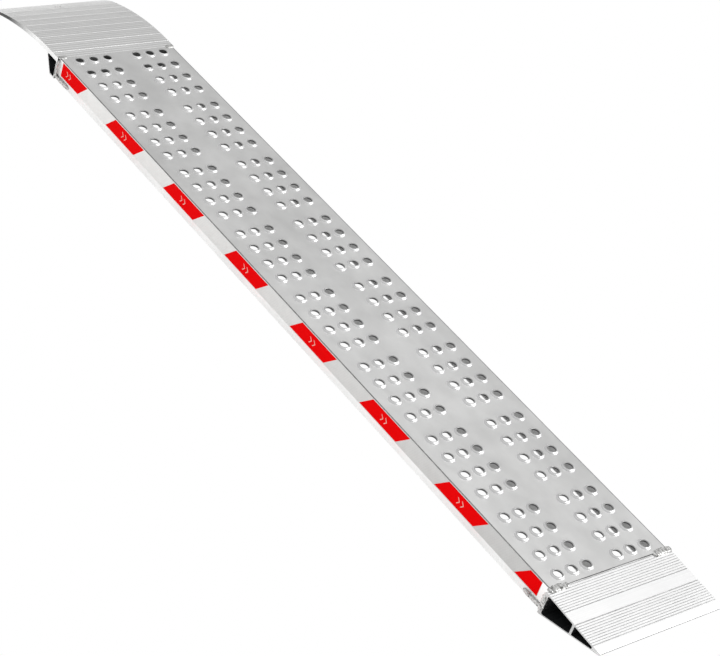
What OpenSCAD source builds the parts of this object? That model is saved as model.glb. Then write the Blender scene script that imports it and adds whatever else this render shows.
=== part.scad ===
// Rigid welded aluminium loading ramp: a punched deck between two side rails, a hollow
// wedge at the foot, and a curved hook at the head that rests on a load bed.
// It lies flat with +X towards the foot, +Y across, +Z up out of the deck. The origin is
// at the centre of its outline, on the ground.

/* [Deck] */
// Width over the two side rails
ramp_w = 300; // [280:10:340]
// Height of the deck's top above the ground
ramp_h = 53; // [50:1:58]
// Thickness of the deck plate and of the side rails
sheet_t = 2.5; // [2:0.5:3]
// Width of the lip that each side rail turns inwards at its bottom
return_w = 15; // [10:1:20]

/* [Tread holes] */
// Groups of tread holes along the deck
groups = 8; // [8:1:10]
// Rows of holes in one group
rows = 4; // [3:1:4]
// Distance between two rows of a group
row_pitch = 51; // [45:1:54]
// Distance from the last row of a group to the first row of the next
group_gap = 67; // [60:1:80]
// Distance from the hook to the first row
hook_margin = 21; // [19:1:30]
// Distance from the last row to the foot wedge
foot_margin = 24.3; // [19:0.1:30]
// Distance from the middle of the deck to the innermost column
inner_column_y = 38.6; // [36:0.1:42]
// Distance between the columns of one side
column_pitch = 36.3; // [34:0.1:38]
// Diameter of a hole
hole_d = 19; // [17:0.5:20]
// Diameter of the raised collar at its root
collar_d = 28; // [27:0.5:32]
// Height of the collar above the deck
collar_h = 3.5; // [3:0.5:5]
// Thickness of the collar at its rim
collar_rim = 1.8; // [1.2:0.1:2]

/* [Centre stiffener] */
// Thickness of the stiffener's web and foot
web_t = 3; // [2:0.5:5]
// Width of the stiffener's foot
foot_w = 26; // [20:1:34]

/* [Foot wedge] */
// Length of the wedge
wedge_len = 150; // [130:5:180]
// How far the wedge sticks out past each side rail
wedge_side = 8; // [6:0.5:10]
// Height of the wedge's top at its nose
nose_top = 43; // [40:1:45]
// Thickness of the nose
nose_t = 4.5; // [4:0.5:6]
// Length of the flat strip under the wedge's rear edge
heel = 4; // [3:1:10]
// Thickness of the wedge's sloping walls
wedge_wall = 2.5; // [2:0.5:3]
// Thickness of the wedge's rear wall
wedge_rear_t = 8; // [5:0.5:10]
// Distance from the deck to the middle of the web inside the wedge
wedge_web_x = 79; // [75:1:85]
// Thickness of the web inside the wedge
wedge_web_t = 5; // [3:0.5:6]

/* [Hook] */
// How far the hook sticks out past each side rail
hook_side = 4.5; // [3:0.5:8]
// Length of the hook's level part
lip_flat = 30; // [26:1:40]
// Radius of the curved lip's top
lip_r = 720; // [700:5:740]
// Angle through which the lip curves down
lip_angle = 20.6; // [20:0.1:21]
// Thickness of the lip at its root
lip_root_t = 11; // [9:0.5:12]
// Thickness of the lip at its tip
lip_tip_t = 5; // [4:0.5:6]
// Radius of the lip's corners, seen from above
lip_corner_r = 22; // [10:1:30]
// Distance from the deck to the first raised rib
first_rib = 25; // [20:1:28]
// Distance along the hook between two raised ribs
rib_pitch = 32; // [28:1:40]
// Diameter of the securing hole near the tip
securing_d = 16; // [10:1:18]
// Angle of the securing hole's place, back from the tip
securing_back = 2.3; // [1.9:0.1:2.6]

/* [Tape] */
// Width of the reflective tape
tape_w = 36; // [30:1:38]
// Distance along the tape between two red panels
panel_pitch = 240; // [200:5:240]
// Length of a red panel along its top edge
panel_len = 118; // [100:1:130]
// Height of a red panel
panel_h = 33; // [26:1:33]
// How far a panel's bottom edge is shifted towards the hook
panel_slant = 31; // [0:1:40]

/* [Hidden] */
$fn = 64;

LEFT = -1;
RIGHT = 1;
HOOK = -1;
FOOT = 1;

satin = [0.74, 0.74, 0.73];
bright = [0.90, 0.90, 0.89];
bead_grey = [0.62, 0.62, 0.61];
tape_white = [0.90, 0.90, 0.88];
tape_red = [0.85, 0.03, 0.04];

half_w = ramp_w / 2;
wedge_half = half_w + wedge_side;
hook_half = half_w + hook_side;
overlap = 1; // how far a cutter runs past the solid that it cuts

// Places along the ramp
group_pitch = (rows - 1) * row_pitch + group_gap;
rows_len = (groups - 1) * group_pitch + (rows - 1) * row_pitch;
deck_len = hook_margin + rows_len + foot_margin;
lip_reach = lip_flat + (lip_r - lip_tip_t / 2) * sin(lip_angle) + lip_tip_t / 2;
deck_start = -(lip_reach + deck_len + wedge_len) / 2 + lip_reach;
deck_end = deck_start + deck_len;

// The lip's two surfaces are arcs. The lower one is flatter, so that the lip thins to its tip.
lip_centre_z = ramp_h - lip_r;
lip_thinning = lip_root_t - lip_tip_t;
under_shift = lip_thinning / (1 - cos(lip_angle));
under_r = lip_r - lip_root_t + under_shift;
under_centre_z = lip_centre_z - under_shift;

// Width of a collar's root at the plate's bottom
collar_fold = 1.6;

// Ribs and grooves pressed out along the profiles
rib_h = 1.2;
rib_w = 3;
ribs_len = lip_flat + (lip_angle - securing_back) * PI / 180 * lip_r - securing_d / 2;
ribs = floor((ribs_len - first_rib) / rib_pitch);
groove_w = 1.5;
groove_depth = 0.9;
groove_pitch = 5.4;
grooves = 10;
rear_band_x = 1.8;
front_band_x = 80.5;

// Length of the solid part of the wedge's nose
nose_solid = 20;

// The hook's leg and its rear wall
leg_top_x = -46;
leg_foot_x = -20;
leg_t = 3;
rear_wall_t = 3;

// Weld beads: low caps of a round bar on the flat faces, quarter rounds in the corners
bead_h = 3;
top_bead_w = 14;
top_bead_over = 3;
foot_top_bead_len = 41;
hook_top_bead_len = 21;
side_bead_z = 8;
side_bead_len = 39;
foot_side_bead_r = wedge_side;
hook_side_bead_r = hook_side + 2;
foot_bead_len = 48;
hook_bead_len = 60;
low_bead_w = 10;
low_bead_z = 1;
stitch_len = 40;
stitch_leg = 5;

// The tape and its panels are thin films, one on the other
tape_t = 0.4;
panel_t = 0.2;
tape_top = ramp_h - 1;
tape_start = deck_start + 18;
tape_end = deck_end - 20;
panel_top = tape_top - 1.2;
first_panel_x = deck_start + 6;

// ---- Deck ----

module tread_holes_2d(d) {
    for (g = [0 : groups - 1], r = [0 : rows - 1], c = [0 : 2], s = [LEFT, RIGHT])
        translate([deck_start + hook_margin + g * group_pitch + r * row_pitch,
                   s * (inner_column_y + c * column_pitch)])
            circle(d = d);
}

// The sheet pressed up around a hole: a thin cone, wide underneath and narrow at its rim
module collar() {
    hole_r = hole_d / 2;
    root_r = collar_d / 2;
    rotate_extrude()
        polygon([[root_r - collar_fold, -sheet_t], [root_r, -sheet_t], [root_r, 0],
                 [root_r - 1.2, 0.8], [hole_r + collar_rim, collar_h - 0.6],
                 [hole_r + collar_rim - 0.6, collar_h], [hole_r, collar_h],
                 [hole_r, collar_h - 1.3]]);
}

module deck_plate() {
    color(satin) {
        translate([0, 0, ramp_h - sheet_t])
            linear_extrude(sheet_t)
                difference() {
                    translate([deck_start, -half_w + sheet_t])
                        square([deck_len, ramp_w - 2 * sheet_t]);
                    tread_holes_2d(collar_d - collar_fold);
                }
        for (g = [0 : groups - 1], r = [0 : rows - 1], c = [0 : 2], s = [LEFT, RIGHT])
            translate([deck_start + hook_margin + g * group_pitch + r * row_pitch,
                       s * (inner_column_y + c * column_pitch), ramp_h])
                collar();
    }
}

// An L on edge: the wall carries the deck, and the bottom turns inwards.
module side_rail(side) {
    color(satin)
        translate([deck_start, 0, 0])
            rotate([90, 0, 90])
                linear_extrude(deck_len) {
                    translate([side > 0 ? half_w - sheet_t : -half_w, 0])
                        square([sheet_t, ramp_h]);
                    translate([side > 0 ? half_w - return_w : -half_w, 0])
                        square([return_w, sheet_t]);
                }
}

// An upside-down T under the middle of the deck
module centre_stiffener() {
    color(satin)
        translate([deck_start, 0, 0])
            rotate([90, 0, 90])
                linear_extrude(deck_len) {
                    translate([-web_t / 2, 0])
                        square([web_t, ramp_h - sheet_t]);
                    translate([-foot_w / 2, 0])
                        square([foot_w, web_t]);
                }
}

// A fillet weld on each side of the web, in each gap between two groups and at both ends
module stiffener_welds() {
    color(bead_grey)
        for (g = [0 : groups], s = [LEFT, RIGHT]) {
            gap_middle = hook_margin + g * group_pitch - group_gap / 2;
            x = min(max(gap_middle, stitch_len / 2), deck_len - stitch_len / 2);
            translate([deck_start + x - stitch_len / 2, 0, 0])
                rotate([90, 0, 90])
                    linear_extrude(stitch_len)
                        polygon([[s * web_t / 2, ramp_h - sheet_t],
                                 [s * (web_t / 2 + stitch_leg), ramp_h - sheet_t],
                                 [s * web_t / 2, ramp_h - sheet_t - stitch_leg]]);
        }
}

// ---- Foot wedge ----

// The wedge's top starts at the deck plate's bottom, so that the plate's edge shows as a step.
rear_top = ramp_h - sheet_t;
function wedge_top(x) = rear_top + (nose_top - rear_top) * x / wedge_len;
function wedge_bottom(x) = max(0, (nose_top - nose_t) * (x - heel) / (wedge_len - heel));
function inner_top(x) = wedge_top(x) - wedge_wall - groove_depth;
function inner_bottom(x) = wedge_bottom(x) + wedge_wall;

// A hollow of the wedge from x1 to x2, with its four corners cut off by c
module wedge_chamber(x1, x2, c) {
    polygon([[x1 + c, inner_bottom(x1 + c)], [x2 - c, inner_bottom(x2 - c)],
             [x2, inner_bottom(x2) + c], [x2, inner_top(x2) - c],
             [x2 - c, inner_top(x2 - c)], [x1 + c, inner_top(x1 + c)],
             [x1, inner_top(x1) - c], [x1, inner_bottom(x1) + c]]);
}

module wedge_grooves(start) {
    for (i = [0 : grooves - 1])
        translate([start + i * groove_pitch, wedge_top(start + i * groove_pitch) - groove_depth])
            square([groove_w, groove_depth + overlap]);
}

module foot_wedge() {
    nose_hollow_end = wedge_len - nose_solid;
    color(bright)
        translate([deck_end, wedge_half, 0])
            rotate([90, 0, 0])
                linear_extrude(2 * wedge_half)
                    difference() {
                        polygon([[0, 0], [heel, 0], [wedge_len, nose_top - nose_t],
                                 [wedge_len, nose_top], [0, rear_top]]);
                        wedge_chamber(wedge_rear_t, wedge_web_x - wedge_web_t / 2, 3);
                        wedge_chamber(wedge_web_x + wedge_web_t / 2, nose_hollow_end, 1.5);
                        wedge_grooves(rear_band_x);
                        wedge_grooves(front_band_x);
                    }
}

// ---- Hook ----

// The part of the plane on the lip's side of its two end angles
module lip_sector() {
    reach = lip_r * 1.2;
    polygon([[0, 0], [0, reach], [-reach * sin(lip_angle), reach * cos(lip_angle)]]);
}

module lip_2d() {
    translate([-lip_flat, lip_centre_z])
        intersection() {
            difference() {
                circle(r = lip_r, $fn = 720);
                translate([0, -under_shift])
                    circle(r = under_r, $fn = 720);
            }
            lip_sector();
        }
    // Rounded tip
    translate([-lip_flat, lip_centre_z])
        rotate(lip_angle)
            translate([0, lip_r - lip_tip_t / 2])
                circle(d = lip_tip_t);
    // Level part
    translate([-lip_flat, ramp_h - lip_root_t])
        square([lip_flat, lip_root_t]);
}

// Ribs at even steps from the deck to the tip, over the level part and on around the arc
module lip_ribs_2d() {
    for (i = [0 : ribs]) {
        past_flat = first_rib + i * rib_pitch - lip_flat;
        translate([-lip_flat - min(past_flat, 0), lip_centre_z])
            rotate(max(past_flat, 0) / lip_r * 180 / PI)
                translate([-rib_w / 2, lip_r - overlap])
                    square([rib_w, rib_h + overlap]);
    }
}

// The sloping leg, the foot and the rear wall make a closed hollow under the lip's root.
module leg_2d() {
    root_z = ramp_h - lip_root_t;
    difference() {
        polygon([[0, 0], [leg_foot_x, 0], [leg_top_x, root_z], [leg_top_x, root_z + overlap],
                 [0, root_z + overlap]]);
        polygon([[-rear_wall_t, leg_t], [leg_foot_x + leg_t, leg_t],
                 [leg_top_x + leg_t + 1, root_z], [-rear_wall_t, root_z]]);
    }
}

// The lip's outline from above, with its two corners rounded
module lip_plan() {
    corner_x = -lip_reach + lip_corner_r;
    union() {
        translate([corner_x, -hook_half])
            square([-corner_x + overlap, 2 * hook_half]);
        translate([-lip_reach - overlap, -hook_half + lip_corner_r])
            square([lip_reach + overlap, 2 * (hook_half - lip_corner_r)]);
        for (s = [LEFT, RIGHT])
            translate([corner_x, s * (hook_half - lip_corner_r)])
                circle(r = lip_corner_r);
    }
}

module hook() {
    color(satin)
        translate([deck_start, 0, 0])
            difference() {
                intersection() {
                    translate([0, hook_half, 0])
                        rotate([90, 0, 0])
                            linear_extrude(2 * hook_half) {
                                lip_2d();
                                lip_ribs_2d();
                                leg_2d();
                            }
                    translate([0, 0, -overlap])
                        linear_extrude(ramp_h + 20)
                            lip_plan();
                }
                translate([-lip_flat, 0, lip_centre_z])
                    rotate([0, -(lip_angle - securing_back), 0])
                        translate([0, 0, lip_r - 20])
                            cylinder(d = securing_d, h = 40);
            }
}

// ---- Welds ----

// A low cap of a round bar along +X, w wide and h high, standing on the plane z = 0
module bead(len, w, h) {
    r = (w * w / 4 + h * h) / (2 * h);
    intersection() {
        translate([-len / 2, 0, h - r])
            rotate([0, 90, 0])
                cylinder(r = r, h = len);
        translate([-len / 2, -w, 0])
            cube([len, 2 * w, h + overlap]);
    }
}

function joint_x(end) = end == FOOT ? deck_end : deck_start;

// A cap of a round bar over the joint, resting on the deck and on the wedge or the hook
module top_bead_2d(end) {
    r = (top_bead_w * top_bead_w / 4 + bead_h * bead_h) / (2 * bead_h);
    far = end * wedge_len;
    difference() {
        translate([0, ramp_h + bead_h - r])
            circle(r = r);
        polygon([[-far, 0], [-far, ramp_h], [0, ramp_h],
                 [0, end == FOOT ? rear_top : ramp_h], [far, end == FOOT ? nose_top : ramp_h],
                 [far, 0]]);
    }
}

// Across the joint on top of the deck, in from the corner
module weld_top(end, side) {
    len = end == FOOT ? foot_top_bead_len : hook_top_bead_len;
    outer_y = side * (half_w + top_bead_over);
    color(bead_grey)
        translate([joint_x(end), side > 0 ? outer_y : outer_y + len, 0])
            rotate([90, 0, 0])
                linear_extrude(len)
                    top_bead_2d(end);
}

function side_bead_r(end) = end == FOOT ? foot_side_bead_r : hook_side_bead_r;

// A quarter round up the corner between the rail's outer face and the wedge or the hook
module weld_side(end, side) {
    r = side_bead_r(end);
    color(bead_grey)
        translate([joint_x(end), side * half_w, side_bead_z])
            linear_extrude(side_bead_len)
                intersection() {
                    circle(r = r);
                    translate([end == FOOT ? -r : 0, side > 0 ? 0 : -r])
                        square(r);
                }
}

// Along the rail's bottom edge, back from the joint
module weld_low(end, side) {
    len = end == FOOT ? foot_bead_len : hook_bead_len;
    color(bead_grey)
        translate([joint_x(end) - end * (len / 2 + side_bead_r(end)), side * half_w,
                   low_bead_w / 2 + low_bead_z])
            rotate([side > 0 ? -90 : 90, 0, 0])
                bead(len, low_bead_w, bead_h);
}

// ---- Tape ----

// Turns a flat outline in X and Z into a film of thickness t standing off a rail's outer face
module on_rail(side, off, t) {
    translate([0, side > 0 ? half_w + off + t : -half_w - off, 0])
        rotate([90, 0, 0])
            linear_extrude(t)
                children();
}

module tape_outline() {
    translate([tape_start, tape_top - tape_w])
        square([tape_end - tape_start, tape_w]);
}

module tape(side) {
    color(tape_white)
        on_rail(side, 0, tape_t)
            tape_outline();
}

// Panel number i, counted from the hook, cut off where the tape ends
module red_panel(side, i) {
    x = first_panel_x + (i - 1) * panel_pitch;
    color(tape_red)
        on_rail(side, tape_t, panel_t)
            intersection() {
                polygon([[x, panel_top], [x + panel_len, panel_top],
                         [x + panel_len - panel_slant, panel_top - panel_h],
                         [x - panel_slant, panel_top - panel_h]]);
                tape_outline();
            }
}

deck_plate();
side_rail(LEFT);  // side_rail_left
side_rail(RIGHT);  // side_rail_right
centre_stiffener();
stiffener_welds();
foot_wedge();
hook();
weld_top(FOOT, LEFT);  // weld_foot_top_left
weld_top(FOOT, RIGHT);  // weld_foot_top_right
weld_side(FOOT, LEFT);  // weld_foot_side_left
weld_side(FOOT, RIGHT);  // weld_foot_side_right
weld_low(FOOT, LEFT);  // weld_foot_low_left
weld_low(FOOT, RIGHT);  // weld_foot_low_right
weld_top(HOOK, LEFT);  // weld_hook_top_left
weld_top(HOOK, RIGHT);  // weld_hook_top_right
weld_side(HOOK, LEFT);  // weld_hook_side_left
weld_side(HOOK, RIGHT);  // weld_hook_side_right
weld_low(HOOK, LEFT);  // weld_hook_low_left
weld_low(HOOK, RIGHT);  // weld_hook_low_right
tape(LEFT);  // tape_left
tape(RIGHT);  // tape_right
red_panel(LEFT, 1);  // red_panel_left_1
red_panel(LEFT, 2);  // red_panel_left_2
red_panel(LEFT, 3);  // red_panel_left_3
red_panel(LEFT, 4);  // red_panel_left_4
red_panel(LEFT, 5);  // red_panel_left_5
red_panel(LEFT, 6);  // red_panel_left_6
red_panel(LEFT, 7);  // red_panel_left_7
red_panel(LEFT, 8);  // red_panel_left_8
red_panel(RIGHT, 1);  // red_panel_right_1
red_panel(RIGHT, 2);  // red_panel_right_2
red_panel(RIGHT, 3);  // red_panel_right_3
red_panel(RIGHT, 4);  // red_panel_right_4
red_panel(RIGHT, 5);  // red_panel_right_5
red_panel(RIGHT, 6);  // red_panel_right_6
red_panel(RIGHT, 7);  // red_panel_right_7
red_panel(RIGHT, 8);  // red_panel_right_8
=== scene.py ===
"""A rigid welded aluminium loading ramp: punched deck, side rails, foot wedge, hook and tape.

Every mesh is a surface worked out with numpy, in millimetres in the ramp's own frame: X runs along
the ramp towards the foot, Y across it, and Z up out of the deck. A piece is scaled to metres when
its mesh is made. The ramp lies flat on a pale floor under soft studio lights.
"""

import logging
import math
from dataclasses import dataclass, field
from enum import Enum, IntEnum
from typing import Callable

import bpy
import numpy as np
from mathutils import Matrix, Vector
from mathutils.geometry import tessellate_polygon


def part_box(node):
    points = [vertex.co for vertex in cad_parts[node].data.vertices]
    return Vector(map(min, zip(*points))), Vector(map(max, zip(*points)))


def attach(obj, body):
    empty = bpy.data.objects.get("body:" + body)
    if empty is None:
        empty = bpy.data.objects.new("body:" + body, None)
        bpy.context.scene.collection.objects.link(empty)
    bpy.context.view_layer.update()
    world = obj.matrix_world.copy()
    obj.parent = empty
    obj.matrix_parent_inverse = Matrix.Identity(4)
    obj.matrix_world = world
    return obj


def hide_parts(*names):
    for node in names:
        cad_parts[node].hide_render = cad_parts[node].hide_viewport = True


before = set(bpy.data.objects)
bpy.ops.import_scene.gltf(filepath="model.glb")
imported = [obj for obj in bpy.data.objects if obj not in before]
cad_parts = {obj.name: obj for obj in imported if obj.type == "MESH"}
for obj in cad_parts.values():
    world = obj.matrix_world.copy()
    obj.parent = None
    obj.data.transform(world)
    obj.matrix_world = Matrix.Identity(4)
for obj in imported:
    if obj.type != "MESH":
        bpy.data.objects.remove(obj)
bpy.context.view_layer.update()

log = logging.getLogger("ramp")

MM = 0.001
ROOT = "root"
Array = np.ndarray
Pair = tuple[float, float]
Triple = tuple[float, float, float]


class Side(Enum):
    """The two long sides of the ramp."""

    LEFT = -1
    RIGHT = 1


class End(Enum):
    """The two ends of the deck, with the direction in which each one points."""

    HOOK = -1
    FOOT = 1


class Slot(Enum):
    """The record's material slots."""

    DECK = "deck_aluminium"
    HOOK = "hook_extrusion"
    WEDGE = "bright_extrusion"
    WELD = "weld_metal"
    TAPE = "white_tape"
    RED = "red_film"


# ---------------------------------------------------------------------------------------------
# Node helper and finishes
# ---------------------------------------------------------------------------------------------


def grey(tone: float) -> Triple:
    """A neutral colour."""
    return (tone, tone, tone)


class Graph:
    """A material's node tree, with short calls for the nodes that the finishes use."""

    def __init__(self, name: str) -> None:
        """Starts an empty material with an output and a principled shader.

        Args:
            name: The material's name.
        """
        self.material = bpy.data.materials.new(name)
        self.material.use_nodes = True
        self.tree = self.material.node_tree
        self.tree.nodes.clear()
        output = self.tree.nodes.new("ShaderNodeOutputMaterial")
        self.shader = self.tree.nodes.new("ShaderNodeBsdfPrincipled")
        self.tree.links.new(self.shader.outputs[0], output.inputs["Surface"])

    def node(self, kind: str, **values: object) -> bpy.types.Node:
        """Adds a node.

        Args:
            kind: The node's type without its ShaderNode prefix.
            **values: Properties of the node to set.

        Returns:
            The new node.
        """
        made = self.tree.nodes.new("ShaderNode" + kind)
        for key, value in values.items():
            setattr(made, key, value)
        return made

    def link(self, source: object, target: object) -> None:
        """Joins an output socket to an input socket."""
        self.tree.links.new(source, target)

    def set(self, **values: object) -> None:
        """Sets constants on the principled shader's own sockets, with _ for each space."""
        for key, value in values.items():
            self.shader.inputs[key.replace("_", " ")].default_value = value

    def place(self, scale: Triple,
              turn: Triple = (0.0, 0.0, 0.0)) -> object:
        """Object coordinates, turned and scaled.

        Args:
            scale: Repeats per metre along each axis.
            turn: Rotation in radians about each axis.

        Returns:
            The vector output.
        """
        where = self.node("TexCoord")
        mapping = self.node("Mapping")
        mapping.inputs["Scale"].default_value = scale
        mapping.inputs["Rotation"].default_value = turn
        self.link(where.outputs["Object"], mapping.inputs["Vector"])
        return mapping.outputs["Vector"]

    def along(self) -> object:
        """The place along the ramp, in metres."""
        where = self.node("SeparateXYZ")
        self.link(self.place((1.0, 1.0, 1.0)), where.inputs[0])
        return where.outputs["X"]

    def noise(self, scale: Triple, detail: float = 3.0, rough: float = 0.55,
              turn: Triple = (0.0, 0.0, 0.0)) -> object:
        """Noise on Object coordinates.

        Args:
            scale: Repeats per metre along each axis.
            detail: Octaves.
            rough: Weight of the finer octaves.
            turn: Rotation in radians about each axis.

        Returns:
            The grey output.
        """
        made = self.node("TexNoise")
        made.inputs["Scale"].default_value = 1.0
        made.inputs["Detail"].default_value = detail
        made.inputs["Roughness"].default_value = rough
        self.link(self.place(scale, turn), made.inputs["Vector"])
        return made.outputs[0]

    def ramp(self, value: object, low: float, high: float, start: float = 0.3,
             end: float = 0.7) -> object:
        """Maps a grey value from start..end to low..high.

        Args:
            value: The grey value.
            low: What start becomes.
            high: What end becomes.
            start: Value at and below which low is given.
            end: Value at and above which high is given.

        Returns:
            The mapped output.
        """
        made = self.node("MapRange", clamp=True)
        self.link(value, made.inputs["Value"])
        for key, number in (("From Min", start), ("From Max", end),
                            ("To Min", low), ("To Max", high)):
            made.inputs[key].default_value = number
        return made.outputs["Result"]

    def mix(self, factor: object, dark: tuple, light: tuple) -> object:
        """Blends two colours by a grey value.

        Args:
            factor: The grey value.
            dark: Colour at zero.
            light: Colour at one.

        Returns:
            The colour output.
        """
        made = self.node("ValToRGB")
        made.color_ramp.elements[0].color = (*dark, 1.0)
        made.color_ramp.elements[1].color = (*light, 1.0)
        self.link(factor, made.inputs["Fac"])
        return made.outputs["Color"]

    def paint(self, tone: object, dark: Triple, light: Triple) -> None:
        """Colours the shader from dark to light by a grey value."""
        self.link(self.mix(tone, dark, light), self.shader.inputs["Base Color"])

    def gloss(self, value: object, roughness: Pair) -> None:
        """Spreads the shader's roughness over a range by a grey value."""
        self.link(self.ramp(value, *roughness), self.shader.inputs["Roughness"])

    def math(self, kind: str, first: object, second: object) -> object:
        """Arithmetic on two values, of which the second may be a number.

        Args:
            kind: The operation.
            first: The first value.
            second: The second value or a number.

        Returns:
            The value output.
        """
        made = self.node("Math", operation=kind)
        self.link(first, made.inputs[0])
        if isinstance(second, (int, float)):
            made.inputs[1].default_value = second
        else:
            self.link(second, made.inputs[1])
        return made.outputs[0]

    def bump(self, layers: list[tuple[object, float, float]]) -> None:
        """Stacks bumps on the shader's normal.

        Args:
            layers: Height output, strength and distance in metres of each layer.
        """
        below = None
        for height, strength, distance in layers:
            made = self.node("Bump")
            made.inputs["Strength"].default_value = strength
            made.inputs["Distance"].default_value = distance
            self.link(height, made.inputs["Height"])
            if below is not None:
                self.link(below, made.inputs["Normal"])
            below = made.outputs["Normal"]
        if below is not None:
            self.link(below, self.shader.inputs["Normal"])


@dataclass(frozen=True)
class MillSheet:
    """Rolled aluminium sheet: soft cloudy tone, rolling lines along the ramp, handling marks."""

    name: str = "mill_sheet"
    dark: Triple = (0.66, 0.66, 0.655)
    light: Triple = (0.78, 0.78, 0.775)
    roughness: Pair = (0.36, 0.50)

    def build(self) -> bpy.types.Material:
        """Makes the material.

        Returns:
            The material.
        """
        g = Graph(self.name)
        cloud = g.noise((7.0, 11.0, 11.0), 4.0)
        smudge = g.noise((30.0, 34.0, 30.0), 5.0, 0.65)
        rolling = g.noise((3.0, 900.0, 900.0), 2.0)
        scratch = g.noise((9.0, 420.0, 300.0), 1.0, turn=(0.0, 0.0, 0.16))
        g.paint(g.ramp(cloud, 0.0, 1.0), self.dark, self.light)
        g.gloss(smudge, self.roughness)
        g.set(Metallic=1.0)
        g.bump([(cloud, 0.35, 0.004), (rolling, 0.06, 0.0004),
                (g.ramp(scratch, 1.0, 0.0, 0.18, 0.30), 0.10, 0.0003)])
        return g.material


@dataclass(frozen=True)
class Extruded:
    """Extruded aluminium with die lines across the ramp, which is the way it was extruded."""

    name: str = "extruded"
    dark: Triple = (0.66, 0.66, 0.655)
    light: Triple = (0.76, 0.76, 0.755)
    roughness: Pair = (0.30, 0.42)
    line_bump: float = 0.16

    def build(self) -> bpy.types.Material:
        """Makes the material.

        Returns:
            The material.
        """
        g = Graph(self.name)
        lines = g.noise((700.0, 2.0, 700.0), 3.0)
        cloud = g.noise((14.0, 9.0, 14.0), 4.0)
        g.paint(g.ramp(lines, 0.0, 1.0), self.dark, self.light)
        g.gloss(cloud, self.roughness)
        g.set(Metallic=1.0)
        g.bump([(cloud, 0.2, 0.002), (lines, self.line_bump, 0.0004)])
        return g.material


@dataclass(frozen=True)
class HollowPaintedShade:
    """Near-black painted shade for the walls of a hollow extrusion's chambers."""

    name: str = "hollow_wall"
    dark: Triple = (0.010, 0.011, 0.012)
    light: Triple = (0.030, 0.032, 0.034)

    def build(self) -> bpy.types.Material:
        """Makes the material.

        Returns:
            The material.
        """
        g = Graph(self.name)
        lines = g.noise((260.0, 4.0, 260.0), 3.0)
        g.paint(g.ramp(lines, 0.0, 1.0), self.dark, self.light)
        g.set(Metallic=0.0, Roughness=0.7, Specular_IOR_Level=0.2)
        g.bump([(lines, 0.2, 0.0004)])
        return g.material


@dataclass(frozen=True)
class WeldMetal:
    """Bare weld: bright rounded ripples with soot in a few of the hollows."""

    name: str = "weld_metal"
    dark: Triple = (0.14, 0.138, 0.135)
    light: Triple = (0.60, 0.60, 0.59)
    roughness: Pair = (0.28, 0.42)

    def build(self) -> bpy.types.Material:
        """Makes the material.

        Returns:
            The material.
        """
        g = Graph(self.name)
        pits = g.noise((150.0, 150.0, 150.0), 4.0, 0.6)
        film = g.noise((90.0, 90.0, 90.0), 3.0)
        g.paint(g.ramp(pits, 0.0, 1.0, 0.34, 0.50), self.dark, self.light)
        g.gloss(film, self.roughness)
        g.set(Metallic=1.0)
        g.bump([(film, 0.7, 0.003), (pits, 0.5, 0.001)])
        return g.material


@dataclass(frozen=True)
class DullMetal:
    """Dull aluminium with grey oxide and handling dirt over the rolled surface; several of its uses
    set a darker tone that is painted shade.
    """

    name: str
    dark: Triple
    light: Triple
    roughness: Pair = (0.45, 0.65)
    metallic: float = 0.6
    grain: float = 120.0
    painted_shade_span: Pair | None = None

    def build(self) -> bpy.types.Material:
        """Makes the material, which may darken between two places along the ramp as painted shade.

        Returns:
            The material.
        """
        g = Graph(self.name)
        dirt = g.noise((self.grain, self.grain, self.grain), 4.0, 0.6)
        film = g.noise((24.0, 24.0, 24.0), 3.0)
        tone = g.ramp(dirt, 0.0, 1.0)
        dark = self.dark
        # Painted shade: the tone fades to near black between the two places.
        if self.painted_shade_span:
            unshaded = g.ramp(g.along(), 0.0, 1.0, self.painted_shade_span[1], self.painted_shade_span[0])
            tone = g.math("MULTIPLY", g.ramp(dirt, 0.85, 1.0), unshaded)
            dark = grey(0.05)
        g.paint(tone, dark, self.light)
        g.gloss(film, self.roughness)
        g.set(Metallic=self.metallic)
        g.bump([(dirt, 0.15, 0.0004)])
        return g.material


@dataclass(frozen=True)
class ReflectiveFilm:
    """Prismatic reflective film: small diamond cells under a clear glossy top layer."""

    name: str
    cell: Triple
    seam: Triple
    roughness: float = 0.5
    specular: float = 0.25
    foot_shade: float = 1.0
    shade_span: Pair = (-0.8, 0.9)
    cells_per_metre: float = 420.0
    cell_tilt: float = 32.0

    def build(self) -> bpy.types.Material:
        """Makes the material.

        Returns:
            The material.
        """
        g = Graph(self.name)
        bands = []
        for turn in (math.radians(self.cell_tilt), math.radians(-self.cell_tilt)):
            wave = g.node("TexWave", wave_type="BANDS", bands_direction="X")
            wave.inputs["Scale"].default_value = 1.0
            wave.inputs["Distortion"].default_value = 0.0
            per_metre = self.cells_per_metre / (2 * math.pi)
            g.link(g.place((per_metre, per_metre, per_metre), (0.0, turn, 0.0)),
                   wave.inputs["Vector"])
            bands.append(wave.outputs["Fac"])
        grid = g.math("MINIMUM", bands[0], bands[1])
        wear = g.noise((46.0, 46.0, 46.0), 4.0)
        face = g.ramp(grid, 0.95, 1.0, 0.02, 0.16)
        # Painted shade: the film darkens towards the foot.
        painted_foot_shade = g.ramp(g.along(), 1.0, self.foot_shade, *self.shade_span)
        shade = g.math("MULTIPLY", g.math("MULTIPLY", face, g.ramp(wear, 0.94, 1.0)), painted_foot_shade)
        g.paint(shade, self.seam, self.cell)
        g.set(Metallic=0.0, Roughness=self.roughness, Specular_IOR_Level=self.specular)
        g.bump([(grid, 0.015, 0.0003), (wear, 0.06, 0.001)])
        return g.material


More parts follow.
